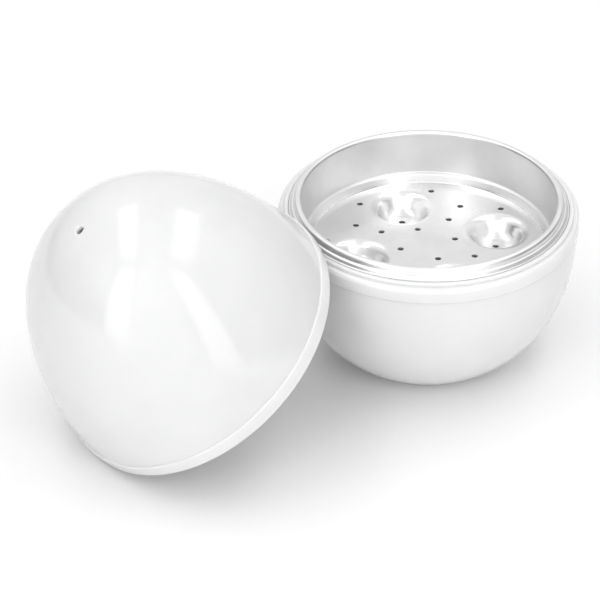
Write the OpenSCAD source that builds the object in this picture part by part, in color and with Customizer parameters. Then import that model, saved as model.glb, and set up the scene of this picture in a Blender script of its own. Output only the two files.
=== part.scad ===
// Egg cooker for a microwave oven: a bowl that holds the water, a drawn aluminium tray that
// holds the eggs in the steam, and an egg-shaped lid with an aluminium liner.
// The bowl stands on its foot with the tray in it. The lid is off: it leans with one side of
// its rim on the table and the other over the bowl's rim.
// Origin: centre of the bowl's foot. Z is up. Sizes are millimetres.

/* [Bowl] */
// Radius of the flat foot
foot_r = 36.3; // [28:0.1:44]
// Bend between foot and body
foot_bend = 1.5; // [0.5:0.1:3]
// Roundness of the bowl across (2 is a true ellipse)
bowl_round_across = 2.07; // [1.9:0.01:2.6]
// Roundness of the bowl downwards (2 is a true ellipse)
bowl_round_down = 2.27; // [1.9:0.01:2.6]
// Wall of the bowl
bowl_wall = 2.6; // [1.8:0.1:3.2]
// Bend between the bowl's floor and its inner wall
bowl_floor_bend = 8; // [3:0.5:10]
// Height of the water line above the bowl's floor
water_line_h = 20; // [12:0.5:26]
// Width of the raised water line
water_line_w = 1.2; // [0.8:0.1:2]
// Height of the raised water line above the wall
water_line_rise = 0.5; // [0.3:0.1:1]

/* [Rims of bowl and lid] */
// Width of the bowl's locating lip
lip_w = 2; // [1.5:0.1:2.5]
// Height of the locating lip above the bowl's band
lip_h = 1.7; // [1:0.1:3]
// Gap between the locating lip and the lid that closes over it
lid_fit = 0.5; // [0.3:0.1:0.9]
// Wall of the lid at its rim
rim_wall = 2.5; // [2:0.1:3.2]
// Height of the raised band round the bowl's rim
bowl_band_h = 8; // [6:0.2:10]
// Step from the band in to the bowl's body
bowl_band_step = 0.8; // [0.3:0.1:1.2]
// Round of the band's upper edge
bowl_band_round = 2.4; // [1:0.1:2.8]
// Height of the raised band round the lid's rim
lid_band_h = 7; // [4:0.2:10]
// Step from the band in to the lid's body
lid_band_step = 0.4; // [0.2:0.1:0.8]
// Round of the lid's rim
rim_round = 0.6; // [0.3:0.1:0.9]

/* [Egg tray] */
// Thickness of the tray's sheet
tray_sheet = 0.8; // [0.6:0.05:0.9]
// Height of the tray's floor above the table
tray_floor_h = 59; // [57:0.5:63]
// Height of the tray's rim above its floor
tray_wall_h = 27; // [26:0.2:32]
// Inner radius of the tray at its mouth
tray_mouth_r = 62.5; // [61.5:0.1:66]
// How much wider the wall is at its mouth than at its foot
tray_flare = 1.5; // [0.8:0.1:2]
// Height of the step round the floor
tray_step_h = 4.4; // [3.4:0.1:7]
// Width of the step round the floor
tray_step_w = 3; // [3:0.1:4]
// Outward lean of the step's riser
tray_step_lean = 1.4; // [0.6:0.1:1.4]
// Width of the rolled rim
roll_w = 3.3; // [2.8:0.1:4]
// Height of the collar's upper part, from the rim down to its shoulder
collar_upper_h = 3; // [2.8:0.1:4]
// Height of the collar's lower part, from the shoulder down to the flange
collar_lower_h = 1.9; // [1.7:0.1:3]
// Outward lean of each part of the collar
collar_lean = 0.4; // [0.2:0.05:0.5]
// Width of the collar's shoulder
shoulder_w = 1.2; // [1.2:0.05:1.6]
// Width of the flange outside the collar
flange_w = 0.7; // [0.6:0.1:1.4]
// Gap round and under the flange
flange_fit = 0.3; // [0.2:0.05:0.5]
// Width of the bowl's ledge under the flange
ledge_w = 1.8; // [1.2:0.1:2.4]
// Thickness of that ledge
ledge_t = 1.2; // [0.8:0.1:2]

/* [Egg cups and steam holes] */
// Number of egg cups
cups = 4; // [3:1:4]
// Radius of the ring that the cups lie on
cup_ring_r = 36.2; // [35:0.1:38]
// Turn of the first cup from +X
cup_turn = 18.8; // [0:0.1:45]
// Radius of a cup at its mouth
cup_r = 13.8; // [11:0.2:14.6]
// Radius of a cup where its wall meets its bottom
cup_bottom_r = 9; // [8:0.1:10]
// Depth of a cup
cup_depth = 8.8; // [7:0.2:11]
// Bend of the cup's rounded lip
cup_lip_bend = 2.5; // [1.5:0.1:3]
// Bend between the cup's wall and its bottom
cup_bottom_bend = 6; // [3:0.5:7]
// Diameter of a steam hole
hole_d = 3; // [2:0.1:3.6]
// Radius of the inner ring of steam holes
inner_holes_r = 14.3; // [10:0.1:15]
// Radius of the second ring of steam holes
second_holes_r = 25.2; // [24:0.1:27]
// Radius of the third ring of steam holes
third_holes_r = 39.2; // [38:0.1:42]
// Radius of the ring of steam holes by the step
edge_holes_r = 49.9; // [49:0.1:51]

/* [Lid] */
// Height of the lid from its rim to its top
lid_h = 99.5; // [94:0.5:110]
// Roundness of the lid across (2 is a true ellipse)
lid_round_across = 2.27; // [2:0.01:2.5]
// Roundness of the lid upwards (2 is a true ellipse)
lid_round_up = 1.77; // [1.7:0.01:2.1]
// Wall of the lid
lid_wall = 2.4; // [1.8:0.1:2.8]
// Diameter of the steam vent at the top
vent_d = 4; // [3:0.1:6]
// Height of the lid's upper rim edge above the bowl's lip
lean_gap = 7.7; // [4:0.1:14]
// Direction of the lid's centre as seen from the bowl's, from +X
lid_bearing = -149.9; // [-180:0.1:180]
// Turn of the lid's lean from that direction
lid_turn = -4.4; // [-6:0.1:6]
// Sideways gap between the leaning lid and the tray's way up
lid_side_gap = 0.5; // [0.5:0.1:10]

/* [Lid liner] */
// Thickness of the liner's sheet
liner_sheet = 0.8; // [0.5:0.1:1.1]
// Air gap between liner and lid
liner_gap = 3; // [2.6:0.1:4.6]
// Play of the liner's flange in its groove
liner_fit = 0.3; // [0.2:0.05:0.4]
// Bend between the liner's flange and its dome
liner_bend = 1.2; // [1:0.1:2]
// Clear height between the closed liner and the tray's rim
liner_rim_gap = 0.7; // [0.4:0.1:2]
// Depth of the catch that holds the liner's flange
catch_w = 0.7; // [0.6:0.1:1]
// Width of the ring that the liner's flange bears on
liner_ring_w = 2; // [1.2:0.1:2.2]
// Height of that ring
liner_ring_t = 1.2; // [0.8:0.1:2]

/* [Hidden] */
$fn = 96;

// Points on each rounded corner and on each long curve
CORNER_STEPS = 5;
CURVE_STEPS = 26;
// How far a cutting tool reaches past the surface that it cuts
OVERCUT = 1;
// Inner bend of a tightly pressed corner; its outer side is wider by the sheet
PRESS_BEND = 0.25;

// Radii, from the tray's mouth outwards: each piece closes round the one before
tray_foot_r = tray_mouth_r - tray_flare;
tray_floor_r = tray_foot_r - tray_step_w;
roll_r = tray_mouth_r + roll_w;
shoulder_r = roll_r + collar_lean + shoulder_w;
flange_r = shoulder_r + collar_lean + flange_w;
lip_in_r = flange_r + flange_fit;
ledge_r = lip_in_r - ledge_w;
lip_out_r = lip_in_r + lip_w;
skirt_r = lip_out_r + lid_fit;
band_r = skirt_r + rim_wall;
bowl_r = band_r - bowl_band_step;
lid_r = band_r - lid_band_step;

// Heights above the table
tray_rim_h = tray_floor_h + tray_wall_h;
flange_top_h = tray_rim_h - collar_upper_h - collar_lower_h;
ledge_h = flange_top_h - tray_sheet - flange_fit;
lip_top_h = flange_top_h;
lid_seat_h = lip_top_h - lip_h;
bowl_belt_h = lid_seat_h - bowl_band_h;

// Steam holes: [radius of the ring, holes for each cup, turn of the first from the first cup]
half_pitch = 180 / cups;
hole_rings = [
    [inner_holes_r, 1, 0],
    [second_holes_r, 1, half_pitch],
    [cup_ring_r, 1, 0],
    [third_holes_r, 1, half_pitch],
    [edge_holes_r, 2, half_pitch / 2]
];

// Lid and liner: heights are above the lid's own rim
vent_r = vent_d / 2;
liner_vent_r = vent_r + liner_fit;
liner_flange_z = tray_rim_h - lid_seat_h + liner_rim_gap;
liner_ring_z = liner_flange_z + liner_sheet + liner_fit;
liner_ring_r = skirt_r - liner_ring_w;
catch_z = liner_flange_z - liner_fit - 2 * catch_w;
lid_inner_r = lid_r - lid_wall;
lid_inner_h = lid_h - lid_wall;
liner_r = lid_inner_r - liner_gap;
liner_h = lid_inner_h - liner_gap;

// The lid leans with its lower rim edge on the table and its upper one over the bowl's lip
lid_lean = asin((lip_top_h + lean_gap) / (2 * band_r));
lid_centre_h = (band_r - rim_round) * sin(lid_lean) + rim_round * (1 - cos(lid_lean));
lid_centre_r = flange_r + lid_side_gap + band_r * cos(lid_lean);

// --- Outlines -------------------------------------------------------------------------------

// Part of a quarter superellipse, from its foot at 0 to its top at 90 degrees
function egg_curve(r, h, across, up, from, to) = [
    for (i = [0:CURVE_STEPS])
        let (t = from + (to - from) * i / CURVE_STEPS)
        [r * pow(cos(t), 2 / across), h * pow(sin(t), 2 / up), 0]
];
// The angle at which that curve passes a height, and a radius
function angle_at_height(z, h, up) = asin(pow(z / h, up / 2));
function angle_at_radius(x, r, across) = acos(pow(x / r, across / 2));

function unit(v) = v / norm(v);
function left(v) = [-v[1], v[0]];
function turned(v, a) = [v[0] * cos(a) - v[1] * sin(a), v[0] * sin(a) + v[1] * cos(a)];
function xy(p) = [p[0], p[1]];
function upside_down(points, h) = [for (p = points) [p[0], h - p[1], p[2]]];
function reversed(points) = [for (i = [len(points) - 1:-1:0]) points[i]];
function without_last(points) = [for (i = [0:len(points) - 2]) points[i]];

// The round of one corner of a path. p, q and s are [x, y, bend]: the corner is q
function corner(p, q, s) =
    q[2] <= 0 ? [xy(q)] :
    let (a = unit(xy(p) - xy(q)), b = unit(xy(s) - xy(q)), half = acos(a * b) / 2,
         centre = xy(q) + unit(a + b) * q[2] / sin(half),
         start = xy(q) + a * q[2] / tan(half) - centre,
         sweep = (cross(a, b) > 0 ? -1 : 1) * (180 - 2 * half))
    [for (i = [0:CORNER_STEPS]) centre + turned(start, sweep * i / CORNER_STEPS)];

// A path of [x, y, bend] points with its corners rounded
function rounded(path) = [
    for (i = [0:len(path) - 1])
        each (i == 0 || i == len(path) - 1)
            ? [xy(path[i])]
            : corner(path[i - 1], path[i], path[i + 1])
];

// The same path moved sideways to its left; each bend grows or shrinks with its side
function moved(path, by) = [
    for (i = [0:len(path) - 1])
        let (before = i > 0 ? xy(path[i]) - xy(path[i - 1]) : xy(path[1]) - xy(path[0]),
             after = i < len(path) - 1 ? xy(path[i + 1]) - xy(path[i]) : before,
             a = left(unit(before)), b = left(unit(after)),
             p = xy(path[i]) + (a + b) * by / (1 + a * b))
        [p[0], p[1], path[i][2] <= 0 ? 0 : path[i][2] - sign(cross(a, b)) * by]
];

// Outline of a sheet that lies to the right of a path
function sheet(path, thickness) =
    concat(rounded(path), reversed(rounded(moved(path, -thickness))));

// --- Bowl -----------------------------------------------------------------------------------

bowl_depth = bowl_belt_h / pow(1 - pow(foot_r / bowl_r, bowl_round_across), 1 / bowl_round_down);
bowl_inner_r = bowl_r - bowl_wall;
bowl_inner_depth = bowl_depth - bowl_wall;

// Outside of the body, from its belt down to the foot
function bowl_outer_curve() = upside_down(
    egg_curve(bowl_r, bowl_depth, bowl_round_across, bowl_round_down,
              0, angle_at_height(bowl_belt_h, bowl_depth, bowl_round_down)),
    bowl_belt_h);

// Inside of the body between two angles
function bowl_inner_curve(from, to) = upside_down(
    egg_curve(bowl_inner_r, bowl_inner_depth, bowl_round_across, bowl_round_down, from, to),
    bowl_belt_h);

bowl_floor_angle = angle_at_height(bowl_belt_h - bowl_wall, bowl_inner_depth, bowl_round_down);
bowl_straight_r = min(lip_in_r, bowl_inner_r);
bowl_straight_angle = angle_at_radius(bowl_straight_r, bowl_inner_r, bowl_round_across);

module bowl_section() {
    outer = without_last(bowl_outer_curve());
    inner = without_last(bowl_inner_curve(bowl_straight_angle, bowl_floor_angle));
    floor_edge = bowl_inner_curve(bowl_floor_angle, bowl_floor_angle)[0];
    polygon(rounded(concat(
        [[0, 0, 0], [foot_r, 0, foot_bend]],
        reversed(outer),
        [[band_r, bowl_belt_h + bowl_band_step, 0],
         [band_r, lid_seat_h, bowl_band_round],
         [lip_out_r, lid_seat_h, 0],
         [lip_out_r, lip_top_h, rim_round],
         [lip_in_r, lip_top_h, rim_round / 2],
         [lip_in_r, ledge_h, 0],
         [ledge_r, ledge_h, 0],
         [ledge_r, ledge_h - ledge_t, 0],
         [bowl_straight_r, ledge_h - ledge_t - ledge_w, 0]],
        inner,
        [[floor_edge[0], bowl_wall, bowl_floor_bend], [0, bowl_wall, 0]]
    )));
}

// Raised line on the inner wall that shows how high to fill the bowl
module water_line_section() {
    t = angle_at_height(bowl_belt_h - bowl_wall - water_line_h, bowl_inner_depth, bowl_round_down);
    around = bowl_inner_curve(t - 1, t + 1);
    middle = xy(bowl_inner_curve(t, t)[0]);
    along = unit(xy(around[CURVE_STEPS]) - xy(around[0]));
    inwards = -left(along);
    polygon([
        middle - along * water_line_w / 2 - inwards * bowl_wall / 2,
        middle - along * water_line_w / 2 + inwards * water_line_rise,
        middle + along * water_line_w / 2 + inwards * water_line_rise,
        middle + along * water_line_w / 2 - inwards * bowl_wall / 2
    ]);
}

module base_bowl() {
    color("whitesmoke")
    rotate_extrude() {
        bowl_section();
        water_line_section();
    }
}

// --- Egg tray -------------------------------------------------------------------------------

// Inner side of the tray's sheet, from the middle of its floor out to the flange's edge
function tray_path() =
    let (outer_bend = tray_sheet + PRESS_BEND, roll_bend = roll_w / 2 - 0.1,
         shoulder_z = tray_wall_h - collar_upper_h, flange_z = shoulder_z - collar_lower_h)
    [
        [0, 0, 0],
        [tray_floor_r, 0, 2 * PRESS_BEND],
        [tray_floor_r + tray_step_lean, tray_step_h, outer_bend],
        [tray_foot_r, tray_step_h, 2 * PRESS_BEND],
        [tray_mouth_r, tray_wall_h, roll_bend],
        [roll_r, tray_wall_h, roll_bend],
        [roll_r + collar_lean, shoulder_z, PRESS_BEND],
        [shoulder_r, shoulder_z, outer_bend],
        [shoulder_r + collar_lean, flange_z, PRESS_BEND],
        [flange_r, flange_z, 0]
    ];

// Inner side of one cup's sheet, from its middle out to the floor round it
function cup_path() = [
    [0, -cup_depth, 0],
    [cup_bottom_r, -cup_depth, cup_bottom_bend],
    [cup_r, 0, cup_lip_bend],
    [cup_r + cup_lip_bend, 0, 0]
];

// The space inside a cup, up through the floor above it
module cup_space() {
    curve = without_last(rounded(cup_path()));
    edge = curve[len(curve) - 1];
    rotate_extrude()
        polygon(concat(curve, [[edge[0], OVERCUT], [0, OVERCUT]]));
}

// A cup as a solid, up to the middle of the floor's sheet
module cup_blank() {
    curve = without_last(rounded(moved(cup_path(), -tray_sheet)));
    edge = curve[len(curve) - 1];
    rotate_extrude()
        polygon(concat(curve, [[edge[0], -tray_sheet / 2], [0, -tray_sheet / 2]]));
}

module at_each_cup() {
    for (i = [0:cups - 1])
        rotate([0, 0, cup_turn + i * 360 / cups])
            translate([cup_ring_r, 0, 0])
                children();
}

module steam_holes() {
    for (ring = hole_rings)
        for (i = [0:cups * ring[1] - 1])
            rotate([0, 0, cup_turn + ring[2] + i * 360 / (cups * ring[1])])
                translate([ring[0], 0, -cup_depth - tray_sheet - OVERCUT])
                    cylinder(d = hole_d, h = cup_depth + tray_sheet + 2 * OVERCUT);
}

module egg_tray() {
    color("silver")
    translate([0, 0, tray_floor_h])
    difference() {
        union() {
            rotate_extrude() polygon(sheet(tray_path(), tray_sheet));
            at_each_cup() cup_blank();
        }
        at_each_cup() cup_space();
        steam_holes();
    }
}

// --- Lid ------------------------------------------------------------------------------------

module place_lid() {
    rotate([0, 0, lid_bearing])
        translate([lid_centre_r, 0, lid_centre_h])
            rotate([0, 0, lid_turn])
                rotate([0, lid_lean, 0])
                    children();
}

module lid_section() {
    band_top = lid_band_h + lid_band_step;
    outer = egg_curve(lid_r, lid_h, lid_round_across, lid_round_up,
                      angle_at_height(band_top, lid_h, lid_round_up),
                      angle_at_radius(vent_r + rim_round, lid_r, lid_round_across));
    outer_end = outer[len(outer) - 1];
    ring_top = liner_ring_z + liner_ring_t + liner_ring_w / 2;
    inner = egg_curve(lid_inner_r, lid_inner_h, lid_round_across, lid_round_up,
                      angle_at_height(ring_top, lid_inner_h, lid_round_up),
                      angle_at_radius(vent_r, lid_inner_r, lid_round_across));
    polygon(rounded(concat(
        [[skirt_r, 0, 0], [band_r, 0, rim_round], [band_r, lid_band_h, 0]],
        outer,
        [[vent_r, outer_end[1] - rim_round, 0]],
        reversed(inner),
        [[liner_ring_r, liner_ring_z + liner_ring_t, 0],
         [liner_ring_r, liner_ring_z, 0],
         [skirt_r, liner_ring_z, 0],
         [skirt_r, catch_z + 2 * catch_w, 0],
         [skirt_r - catch_w, catch_z + catch_w, 0],
         [skirt_r, catch_z, 0]]
    )));
}

module lid_shell() {
    color("whitesmoke")
    place_lid()
        rotate_extrude() lid_section();
}

// --- Lid liner ------------------------------------------------------------------------------

// Outer side of the liner's sheet, from its vent down to the edge of its flange
function liner_path() =
    let (flange_top_z = liner_flange_z + liner_sheet,
         flange_angle = angle_at_height(flange_top_z, liner_h, lid_round_up),
         dome_angle = angle_at_height(flange_top_z + 2 * liner_bend, liner_h, lid_round_up),
         vent_angle = angle_at_radius(liner_vent_r, liner_r, lid_round_across),
         foot = egg_curve(liner_r, liner_h, lid_round_across, lid_round_up,
                          flange_angle, flange_angle)[0])
    concat(
        egg_curve(liner_r, liner_h, lid_round_across, lid_round_up, vent_angle, dome_angle),
        [[foot[0], flange_top_z, liner_bend], [skirt_r - liner_fit, flange_top_z, 0]]
    );

module lid_liner() {
    color("silver")
    place_lid()
        rotate_extrude() polygon(sheet(liner_path(), liner_sheet));
}

base_bowl();
egg_tray();
lid_shell();
lid_liner();
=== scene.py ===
import math
import bmesh
import bpy
from mathutils import Matrix, Vector


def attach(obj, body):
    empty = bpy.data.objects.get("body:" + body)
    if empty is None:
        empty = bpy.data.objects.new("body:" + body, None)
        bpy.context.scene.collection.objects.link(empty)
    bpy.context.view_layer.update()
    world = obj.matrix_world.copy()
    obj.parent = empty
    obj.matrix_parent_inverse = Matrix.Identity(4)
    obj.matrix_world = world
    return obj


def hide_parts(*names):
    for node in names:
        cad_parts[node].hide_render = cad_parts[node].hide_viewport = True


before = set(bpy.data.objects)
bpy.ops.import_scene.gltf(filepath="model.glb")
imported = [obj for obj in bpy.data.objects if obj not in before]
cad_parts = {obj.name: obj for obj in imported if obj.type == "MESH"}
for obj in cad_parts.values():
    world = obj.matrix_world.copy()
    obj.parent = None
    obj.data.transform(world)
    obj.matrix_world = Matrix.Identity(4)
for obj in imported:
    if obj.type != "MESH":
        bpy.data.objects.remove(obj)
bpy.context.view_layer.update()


# --- Water bowl -----------------------------------------------------------------------------
# The lower half of the egg, which holds the water: white polypropylene, injection moulded in
# one piece in a polished tool. A raised band stiffens its rim, the lip above it locates the
# lid, and a ledge inside carries the egg tray. It is gated in the middle of its foot.

MM = 0.001
SAME_POINT = 0.002 * MM
SHARP_ANGLE = math.radians(38)

# Sizes in millimetres: _r is a radius, _h a height
foot_r, foot_bend = 36.3, 1.5
bowl_r, band_r = 73.0, 73.8
belt_h, band_top_h = 71.4, 79.4
band_slope_h, band_bend = 0.8, 2.4
bowl_round_across, bowl_round_down = 2.07, 2.27
bowl_wall, floor_bend = 2.6, 5.5
lip_out_r, lip_in_r, lip_top_h = 70.8, 68.8, 81.1
ledge_r, ledge_h, ledge_t, ledge_slope_h = 67.0, 80.0, 1.2, 1.8
water_line_h, water_line_w, water_line_rise = 22.6, 1.2, 0.5


def egg_curve(radius, height, across, along, start, end, steps=44):
    """Points of one quarter of an egg's outline, between two angles."""
    points = []
    for step in range(steps + 1):
        angle = start + (end - start) * step / steps
        points.append((radius * math.cos(angle) ** (2 / across),
                       height * math.sin(angle) ** (2 / along)))
    return points


def angle_at_height(z, height, along):
    """The angle at which egg_curve reaches height z."""
    return math.asin((z / height) ** (along / 2))


def angle_at_radius(r, radius, across):
    """The angle at which egg_curve reaches radius r."""
    return math.acos((r / radius) ** (across / 2))


def turn_outline(mesh, outline, closed=False, steps=192, centre=(0, 0, 0)):
    """Turn an outline of (radius, height, round) points, in millimetres, about an upright axis."""
    x, y, z = (c * MM for c in centre)
    corners = [mesh.verts.new((x + point[0] * MM, y, z + point[1] * MM)) for point in outline]
    pairs = list(zip(corners, corners[1:]))
    if closed:
        pairs.append((corners[-1], corners[0]))
    for pair in pairs:
        mesh.edges.new(pair)
    for corner, point in zip(corners, outline):
        if len(point) > 2:
            bmesh.ops.bevel(mesh, geom=[corner], offset=point[2] * MM, offset_type="OFFSET",
                            segments=5, profile=0.5, affect="VERTICES", material=-1)
    edges = [edge for edge in mesh.edges if edge.is_wire]
    section = list({vert for edge in edges for vert in edge.verts}) + edges
    bmesh.ops.spin(mesh, geom=section, cent=(x, y, z), axis=(0, 0, 1),
                   angle=2 * math.pi, steps=steps, use_merge=True)


def close_skin(mesh):
    """Merge the poles and seams of turned shapes and turn every face outwards."""
    bmesh.ops.remove_doubles(mesh, verts=mesh.verts[:], dist=SAME_POINT)
    bmesh.ops.recalc_face_normals(mesh, faces=mesh.faces[:])


def make_piece(name, mesh, material):
    """Turn a finished bmesh into an object, smooth but for its sharp edges."""
    data = bpy.data.meshes.new(name)
    mesh.to_mesh(data)
    mesh.free()
    data.shade_smooth()
    data.set_sharp_from_angle(angle=SHARP_ANGLE)
    data.materials.append(material)
    piece = bpy.data.objects.new(name, data)
    bpy.context.scene.collection.objects.link(piece)
    return piece


def hex_colour(code):
    """An sRGB hex colour as linear red, green, blue and alpha."""
    channels = [int(code[i:i + 2], 16) / 255 for i in (1, 3, 5)]
    return [c / 12.92 if c <= 0.04045 else ((c + 0.055) / 1.055) ** 2.4 for c in channels] + [1.0]


def add_node(tree, kind, inputs=None, **settings):
    """Add a node; each input is given by name or number, as a value or as a socket to link."""
    made = tree.nodes.new(kind)
    for name, value in settings.items():
        setattr(made, name, value)
    for name, value in (inputs or {}).items():
        if isinstance(value, bpy.types.NodeSocket):
            tree.links.new(value, made.inputs[name])
        else:
            made.inputs[name].default_value = value
    return made


def new_material(name):
    """A material without nodes, and its node tree."""
    material = bpy.data.materials.new(name)
    material.use_nodes = True
    material.node_tree.nodes.clear()
    return material, material.node_tree


# A noise stays between these for nearly all of its area
NOISE_LOW, NOISE_HIGH = 0.3, 0.7


def spread(tree, noise, low, high):
    """Spread a noise from low to high."""
    made = add_node(tree, "ShaderNodeMapRange",
                    {"Value": noise, "From Min": NOISE_LOW, "From Max": NOISE_HIGH,
                     "To Min": low, "To Max": high})
    return made.outputs["Result"]


def two_tints(tree, noise, dark, light):
    """Spread a noise between two close tints, given in sRGB hex."""
    made = add_node(tree, "ShaderNodeValToRGB", {"Fac": noise})
    first, last = made.color_ramp.elements
    first.position, first.color = NOISE_LOW, hex_colour(dark)
    last.position, last.color = NOISE_HIGH, hex_colour(light)
    return made.outputs["Color"]


# Polypropylene from a polished mould: white all through, a clear but soft gloss, and the
# faint waviness of a thick skin that shrank as it cooled.
moulded_polypropylene, tree = new_material("moulded_polypropylene_polished")
place = add_node(tree, "ShaderNodeTexCoord").outputs["Object"]
# Sinks and flow of the melt, about 30 mm across
flow = add_node(tree, "ShaderNodeTexNoise",
                {"Vector": place, "Scale": 1 / (30 * MM), "Detail": 2.0})
tint = two_tints(tree, flow.outputs["Fac"], "#D8D8D8", "#DCDCDC")
# Gloss changes over about 9 mm, where the tool was polished by hand
polish = add_node(tree, "ShaderNodeTexNoise",
                  {"Vector": place, "Scale": 1 / (9 * MM), "Detail": 3.0})
gloss = spread(tree, polish.outputs["Fac"], 0.07, 0.11)
# Orange peel, about 2.5 mm from crest to crest and a few thousandths deep
peel = add_node(tree, "ShaderNodeTexNoise",
                {"Vector": place, "Scale": 1 / (2.5 * MM), "Detail": 1.0})
relief = add_node(tree, "ShaderNodeBump", {"Height": peel.outputs["Fac"], "Strength": 0.35,
                                           "Distance": 0.006 * MM})
skin = add_node(tree, "ShaderNodeBsdfPrincipled",
                {"Base Color": tint, "Roughness": gloss, "IOR": 1.49,
                 "Normal": relief.outputs["Normal"], "Subsurface Weight": 0.8,
                 "Subsurface Radius": (1.0, 0.97, 0.92), "Subsurface Scale": 5 * MM})
add_node(tree, "ShaderNodeOutputMaterial", {"Surface": skin.outputs["BSDF"]})

# The whole egg half would go this deep under the belt; the foot cuts its tip off
bowl_depth = belt_h / (1 - (foot_r / bowl_r) ** bowl_round_across) ** (1 / bowl_round_down)
inner_r, inner_depth = bowl_r - bowl_wall, bowl_depth - bowl_wall
outside = egg_curve(bowl_r, bowl_depth, bowl_round_across, bowl_round_down,
                    angle_at_height(belt_h, bowl_depth, bowl_round_down), 0.0)
line_angle = angle_at_height(belt_h - water_line_h, inner_depth, bowl_round_down)
half_line = water_line_w / 2 / inner_depth
above_line = egg_curve(inner_r, inner_depth, bowl_round_across, bowl_round_down,
                       angle_at_radius(lip_in_r, inner_r, bowl_round_across),
                       line_angle - half_line, steps=30)
on_line = egg_curve(inner_r - water_line_rise, inner_depth - water_line_rise, bowl_round_across,
                    bowl_round_down, line_angle - half_line, line_angle + half_line, steps=2)
below_line = egg_curve(inner_r, inner_depth, bowl_round_across, bowl_round_down,
                       line_angle + half_line,
                       angle_at_height(belt_h - bowl_wall, inner_depth, bowl_round_down), steps=20)
# Outlines are (radius, height, round). The gate's mark is a small pip in a shallow dimple.
gate = [(0, 0.25), (0.7, 0.25, 0.1), (0.9, 0.7, 0.15), (3.6, 0.7, 0.3), (4.1, 0, 0.2)]
# From the gate over the foot up to the band, over the lip and the ledge, and down inside past
# the raised water line
outline = (gate + [(foot_r, 0, foot_bend)]
           + [(r, belt_h - z) for r, z in outside[1:-1]]
           + [(bowl_r, belt_h, 0.15), (band_r, belt_h + band_slope_h, 0.25),
              (band_r, band_top_h, band_bend),
              (lip_out_r, band_top_h, 0.15), (lip_out_r, lip_top_h, 0.6),
              (lip_in_r, lip_top_h, 0.3), (lip_in_r, ledge_h, 0.1), (ledge_r, ledge_h, 0.2),
              (ledge_r, ledge_h - ledge_t, 0.2),
              (lip_in_r, ledge_h - ledge_t - ledge_slope_h)]
           + [(r, belt_h - z) for r, z in above_line + on_line + below_line[:-1]]
           + [(below_line[-1][0], bowl_wall, floor_bend), (0, bowl_wall)])
mesh = bmesh.new()
turn_outline(mesh, outline)
close_skin(mesh)

water_bowl = make_piece("water_bowl_moulding", mesh, moulded_polypropylene)
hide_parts("base_bowl")
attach(water_bowl, "bowl")


# --- Egg tray -------------------------------------------------------------------------------
# A dish that hangs in the bowl by its flange and holds four eggs over the water: 0.8 mm
# aluminium sheet, deep drawn in one piece. A step stiffens the floor, the rim is turned over
# into a stepped collar, and the cups and the steam holes are pressed and punched last.

tray_sheet = 0.8
tray_floor_h = 59.0
# The sheet's upper side, as (radius, height above the floor, round), from the floor's edge out
# to the flange
tray_wall = [(57.2, 0), (58, 0, 0.45), (59.4, 4.4, 0.8), (61, 4.4, 0.6), (62.5, 27, 1.4),
             (65.8, 27, 1.4), (66.2, 24, 0.35), (67.4, 24, 0.75), (67.8, 22.1, 0.4), (68.5, 22.1)]
cup_ring_r, cup_turn = 36.2, math.radians(18.8)
hole_r = 1.5
cup = [(hole_r, -8.95), (hole_r, -8.8, 0.12), (9, -8.8, 3.56), (13.8, 0, 2.97), (17.4, 0)]
punched_edge = [(hole_r, -0.15), (hole_r, 0, 0.12), (hole_r + 0.5, 0)]
# Ring radius, holes for each cup, degrees from the first cup
hole_rings = [(14.3, 1, 0), (25.2, 1, 45), (39.2, 1, 45), (49.9, 2, 22.5)]

# One cup with its holes, then the same a quarter, a half and three quarters of a turn on
mesh = bmesh.new()
for ring_r, each, turn in hole_rings:
    for number in range(each):
        angle = cup_turn + math.radians(turn) + number * math.pi / 2 / each
        turn_outline(mesh, punched_edge, steps=28,
                     centre=(ring_r * math.cos(angle), ring_r * math.sin(angle), tray_floor_h))
turn_outline(mesh, cup, steps=96,
             centre=(cup_ring_r * math.cos(cup_turn), cup_ring_r * math.sin(cup_turn),
                     tray_floor_h))
bmesh.ops.spin(mesh, geom=mesh.verts[:] + mesh.edges[:] + mesh.faces[:], cent=(0, 0, 0),
               axis=(0, 0, 1), angle=1.5 * math.pi, steps=3, use_duplicate=True)
turn_outline(mesh, tray_wall, centre=(0, 0, tray_floor_h))
bmesh.ops.remove_doubles(mesh, verts=mesh.verts[:], dist=SAME_POINT)
# The flat floor fills what the wall, the cups and the holes leave open
floor_edges = [e for e in mesh.edges if e.is_boundary
               and all(abs(v.co.z - tray_floor_h * MM) < SAME_POINT / 2 for v in e.verts)]
bmesh.ops.triangle_fill(mesh, use_beauty=True, edges=floor_edges, normal=(0, 0, 1))
close_skin(mesh)
# The upper side looks up, so that the sheet's thickness lies under it
floor_face = min(mesh.faces, key=lambda f: f.calc_center_median().xy.length)
if floor_face.normal.z < 0:
    bmesh.ops.reverse_faces(mesh, faces=mesh.faces[:])
bmesh.ops.solidify(mesh, geom=mesh.faces[:], thickness=tray_sheet * MM)

# Aluminium sheet after deep drawing: bright and slightly soft. The die leaves faint lines down
# the wall, the rolling mill leaves straight grain across the floor.
drawn_aluminium, tree = new_material("drawn_aluminium_bright")
place = add_node(tree, "ShaderNodeTexCoord").outputs["Object"]
axes = add_node(tree, "ShaderNodeSeparateXYZ", {"Vector": place})
bearing = add_node(tree, "ShaderNodeMath", {0: axes.outputs["Y"], 1: axes.outputs["X"]},
                   operation="ARCTAN2")
# Draw lines about 0.7 mm apart at the wall
wall_r, line_gap = 62, 0.7
draw_lines = add_node(tree, "ShaderNodeTexNoise",
                      {"W": bearing.outputs[0], "Scale": wall_r / line_gap, "Detail": 2.0},
                      noise_dimensions="1D")
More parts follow.
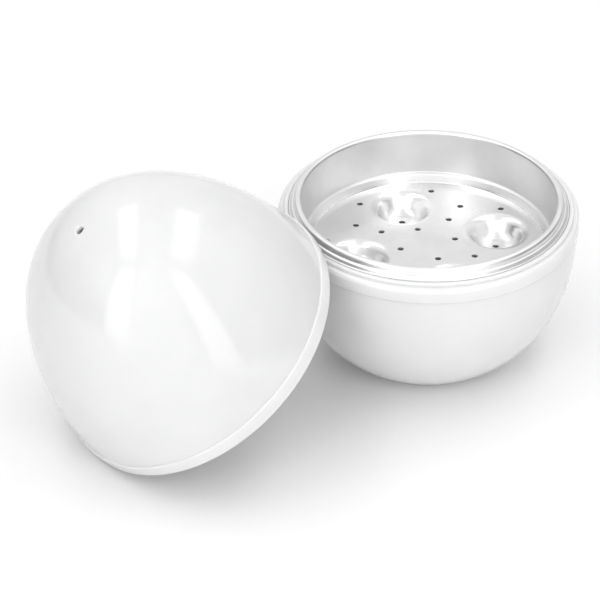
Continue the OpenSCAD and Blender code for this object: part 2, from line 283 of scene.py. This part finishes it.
# Rolling grain about 0.5 mm apart, drawn out fifty times along X
grain_place = add_node(tree, "ShaderNodeMapping", {"Vector": place, "Scale": (0.02, 1, 1)})
grain = add_node(tree, "ShaderNodeTexNoise", {"Vector": grain_place.outputs["Vector"],
                                              "Scale": 1 / (0.5 * MM), "Detail": 2.0})
above_floor = add_node(tree, "ShaderNodeMapRange",
                       {"Value": axes.outputs["Z"], "From Min": (tray_floor_h + 0.6) * MM,
                        "From Max": (tray_floor_h + 2) * MM})
marks = add_node(tree, "ShaderNodeMix", {0: above_floor.outputs["Result"], 2: grain.outputs["Fac"],
                                         3: draw_lines.outputs["Fac"]})
relief = add_node(tree, "ShaderNodeBump", {"Height": marks.outputs[0], "Strength": 0.3,
                                           "Distance": 0.004 * MM})
# Haze left by the drawing lubricant, about 12 mm across
haze = add_node(tree, "ShaderNodeTexNoise",
                {"Vector": place, "Scale": 1 / (12 * MM), "Detail": 3.0})
gloss = spread(tree, haze.outputs["Fac"], 0.22, 0.28)
# The die roughens the wall more than the floor
drag = add_node(tree, "ShaderNodeMath", {0: above_floor.outputs["Result"], 1: 0.12, 2: gloss},
                operation="MULTIPLY_ADD")
tint = two_tints(tree, haze.outputs["Fac"], "#E1E1E1", "#E7E7E7")
skin = add_node(tree, "ShaderNodeBsdfPrincipled",
                {"Base Color": tint, "Metallic": 1.0,
                 "Roughness": drag.outputs["Value"], "Normal": relief.outputs["Normal"]})
add_node(tree, "ShaderNodeOutputMaterial", {"Surface": skin.outputs["BSDF"]})

egg_tray = make_piece("egg_tray_pressing", mesh, drawn_aluminium)
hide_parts("egg_tray")
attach(egg_tray, "tray")


# --- Lid ------------------------------------------------------------------------------------
# The upper half of the egg, taken off and leaning on its rim: the same white polypropylene,
# moulded in one piece. A low band runs round its rim, the steam leaves through a vent in its
# crown, and a ring and a catch inside hold the liner.

skirt_r = 71.3
lid_r, lid_h = 73.4, 99.5
lid_round_across, lid_round_up = 2.27, 1.77
lid_wall = 2.4
lid_band_h, lid_band_step = 7.0, 0.4
vent_r, vent_bevel_w, vent_bevel_h = 2.0, 0.6, 0.5
liner_flange_z, liner_sheet = 7.3, 0.8
catch_z, catch_w = 5.6, 0.7
ring_z, ring_w, ring_t, ring_slope_h = 8.4, 2.0, 1.2, 1

# The lid leans with one edge of its rim on the table and the other over the bowl's lip. The
# middle of its rim lies this far from the bowl's axis, in this direction, and this high.
rim_reach, rim_bearing, rim_middle_h = 127.950, -149.9, 44.160
lid_turn, lid_lean = -4.4, 36.986
lid_place = (Matrix.Rotation(math.radians(rim_bearing), 4, "Z")
             @ Matrix.Translation((rim_reach * MM, 0, rim_middle_h * MM))
             @ Matrix.Rotation(math.radians(lid_turn), 4, "Z")
             @ Matrix.Rotation(math.radians(lid_lean), 4, "Y"))

outside = egg_curve(lid_r, lid_h, lid_round_across, lid_round_up,
                    angle_at_height(lid_band_h + lid_band_step, lid_h, lid_round_up),
                    angle_at_radius(vent_r + vent_bevel_w, lid_r, lid_round_across), steps=60)
inside = egg_curve(lid_r - lid_wall, lid_h - lid_wall, lid_round_across, lid_round_up,
                   angle_at_radius(vent_r, lid_r - lid_wall, lid_round_across),
                   angle_at_height(ring_z + ring_t + ring_slope_h, lid_h - lid_wall,
                                   lid_round_up), steps=60)
# From the rim up over the dome to the vent, and back inside to the ring and the catch
outline = ([(skirt_r, 0, 0.3), (band_r, 0, 0.6), (band_r, lid_band_h, 0.25)] + outside
           + [(vent_r, outside[-1][1] - vent_bevel_h, 0.4)] + inside
           + [(skirt_r - ring_w, ring_z + ring_t, 0.3), (skirt_r - ring_w, ring_z, 0.3),
              (skirt_r, ring_z), (skirt_r, catch_z + 2 * catch_w),
              (skirt_r - catch_w, catch_z + catch_w, 0.2), (skirt_r, catch_z)])
mesh = bmesh.new()
turn_outline(mesh, outline, closed=True)
close_skin(mesh)
bmesh.ops.transform(mesh, matrix=lid_place, verts=mesh.verts[:])

lid_shell = make_piece("lid_moulding", mesh, moulded_polypropylene)
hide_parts("lid_shell")
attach(lid_shell, "lid")


# --- Lid liner ------------------------------------------------------------------------------
# A thin dome that keeps the microwaves off the eggs: 0.8 mm aluminium, spun over a former and
# pierced at its top under the vent. Its flange snaps over the catch inside the lid's rim.

liner_r, liner_h = 68.0, 94.1
liner_vent_r, liner_fit = 2.3, 0.3
liner_bend, liner_bend_h = 1.1, 2.4
flange_top_z = liner_flange_z + liner_sheet
dome = egg_curve(liner_r, liner_h, lid_round_across, lid_round_up,
                 angle_at_radius(liner_vent_r, liner_r, lid_round_across),
                 angle_at_height(flange_top_z + liner_bend_h, liner_h, lid_round_up), steps=60)
foot_angle = angle_at_height(flange_top_z, liner_h, lid_round_up)
outline = dome + [(liner_r * math.cos(foot_angle) ** (2 / lid_round_across), flange_top_z,
                   liner_bend), (skirt_r - liner_fit, flange_top_z)]
mesh = bmesh.new()
turn_outline(mesh, outline)
close_skin(mesh)
# The outer side looks outwards, so that the sheet's thickness lies inside it
if max(mesh.faces, key=lambda f: f.calc_center_median().z).normal.z < 0:
    bmesh.ops.reverse_faces(mesh, faces=mesh.faces[:])
bmesh.ops.solidify(mesh, geom=mesh.faces[:], thickness=liner_sheet * MM)
bmesh.ops.transform(mesh, matrix=lid_place, verts=mesh.verts[:])

# Aluminium after spinning: satin, with the roller's fine rings round its axis
spun_aluminium, tree = new_material("spun_aluminium_satin")
place = add_node(tree, "ShaderNodeTexCoord").outputs["Object"]
# The liner's own axis, with the lean taken out
upright = add_node(tree, "ShaderNodeMapping",
                   {"Vector": place, "Location": lid_place.to_translation(),
                    "Rotation": lid_place.to_euler("XYZ")}, vector_type="TEXTURE")
flat = add_node(tree, "ShaderNodeVectorMath", {0: upright.outputs["Vector"], 1: (1, 1, 0)},
                operation="MULTIPLY")
radius = add_node(tree, "ShaderNodeVectorMath", {0: flat.outputs[0]}, operation="LENGTH")
height = add_node(tree, "ShaderNodeSeparateXYZ", {"Vector": upright.outputs["Vector"]})
# Falls from the axis outwards and from the crown downwards alike
along = add_node(tree, "ShaderNodeMath", {0: height.outputs["Z"], 1: radius.outputs["Value"]},
                 operation="SUBTRACT")
# Roller rings 0.6 mm apart
rings = add_node(tree, "ShaderNodeTexNoise", {"W": along.outputs[0], "Scale": 1 / (0.6 * MM),
                                              "Detail": 2.0}, noise_dimensions="1D")
relief = add_node(tree, "ShaderNodeBump", {"Height": rings.outputs["Fac"], "Strength": 0.5,
                                           "Distance": 0.01 * MM})
# Haze left by the spinning lubricant, about 15 mm across
haze = add_node(tree, "ShaderNodeTexNoise",
                {"Vector": place, "Scale": 1 / (15 * MM), "Detail": 3.0})
gloss = spread(tree, haze.outputs["Fac"], 0.42, 0.5)
tint = two_tints(tree, rings.outputs["Fac"], "#DEDEDE", "#E8E8E8")
skin = add_node(tree, "ShaderNodeBsdfPrincipled",
                {"Base Color": tint, "Metallic": 1.0,
                 "Roughness": gloss, "Normal": relief.outputs["Normal"]})
add_node(tree, "ShaderNodeOutputMaterial", {"Surface": skin.outputs["BSDF"]})

liner = make_piece("lid_liner_spinning", mesh, spun_aluminium)
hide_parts("lid_liner")
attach(liner, "lid")


# --- Table, light and camera ----------------------------------------------------------------
# A white table in a light tent: two tall soft boxes stand in front, left and right of the
# camera, with a weaker one between them, and two long ones hang overhead from front to back.

# Laminate pressed against a matt plate
table_half_w = 3.0
table_laminate, tree = new_material("matt_white_laminate")
skin = add_node(tree, "ShaderNodeBsdfPrincipled", {"Base Color": hex_colour("#ECECEC"),
                                                   "Roughness": 0.7, "IOR": 1.45})
add_node(tree, "ShaderNodeOutputMaterial", {"Surface": skin.outputs["BSDF"]})
mesh = bmesh.new()
bmesh.ops.create_grid(mesh, x_segments=1, y_segments=1, size=table_half_w)
table = make_piece("table", mesh, table_laminate)

tent = bpy.data.worlds.new("light_tent")
tent.use_nodes = True
tree = tent.node_tree
# Black flags stand low at the left and the right, so that the white rims keep a shaded edge:
# the tent's light falls to nothing sideways, and less so the higher up it comes from
aim = add_node(tree, "ShaderNodeTexCoord").outputs["Object"]
sides = add_node(tree, "ShaderNodeVectorMath", {0: aim}, operation="ABSOLUTE")
low_at_sides = add_node(tree, "ShaderNodeVectorMath", {0: sides.outputs[0], 1: (1, 0, -0.85)},
                        operation="DOT_PRODUCT")
fall = add_node(tree, "ShaderNodeMapRange",
                {"Value": low_at_sides.outputs["Value"], "From Min": 0.18, "From Max": 0.83,
                 "To Min": 0.96, "To Max": 0.0}, interpolation_type="SMOOTHSTEP")
tree.nodes["Background"].inputs["Color"].default_value = hex_colour("#FFFFFF")
tree.links.new(fall.outputs["Result"], tree.nodes["Background"].inputs["Strength"])
bpy.context.scene.world = tent


def soft_box(name, corner, across, up, radiance):
    """A rectangular light from one corner and its two sides, which shines out of their back."""
    across, up = Vector(across), Vector(up)
    lamp = bpy.data.lights.new(name, "AREA")
    lamp.shape = "RECTANGLE"
    lamp.size, lamp.size_y = across.length, up.length
    lamp.energy = radiance * math.pi * across.length * up.length
    box = bpy.data.objects.new(name, lamp)
    facing = across.cross(up).normalized()
    turn = Matrix((across.normalized(), up.normalized(), facing)).transposed()
    box.matrix_world = Matrix.Translation(Vector(corner) + (across + up) / 2) @ turn.to_4x4()
    box.visible_camera = False
    bpy.context.scene.collection.objects.link(box)


soft_box("front_left", (-1.08, -1.2, 0.02), (0.52, 0, 0), (0, 0, 1.9), 2.4)
soft_box("front_right", (0.45, -1.2, 0.02), (0.50, 0, 0), (0, 0, 1.9), 2.4)
soft_box("front_middle", (-0.56, -1.25, 0.02), (1.01, 0, 0), (0, 0, 1.9), 0.45)
soft_box("overhead_left", (-0.72, -0.50, 1.3), (0.36, 0, 0), (0, 1.3, 0), 1.95)
soft_box("overhead_right", (0.24, -0.50, 1.3), (0.38, 0, 0), (0, 1.3, 0), 1.95)

# A long lens, about 1.7 m from the bowl, looking down at it
camera_tilt = 33.2607
lens = bpy.data.cameras.new("camera")
lens.sensor_width, lens.lens = 36, 205.36
camera = bpy.data.objects.new("camera", lens)
camera.location = (-0.0630, -1.4250, 0.9605)
camera.rotation_euler = (math.radians(90 - camera_tilt), 0, 0)
bpy.context.scene.collection.objects.link(camera)
bpy.context.scene.camera = camera
bpy.context.scene.view_settings.view_transform = "Standard"
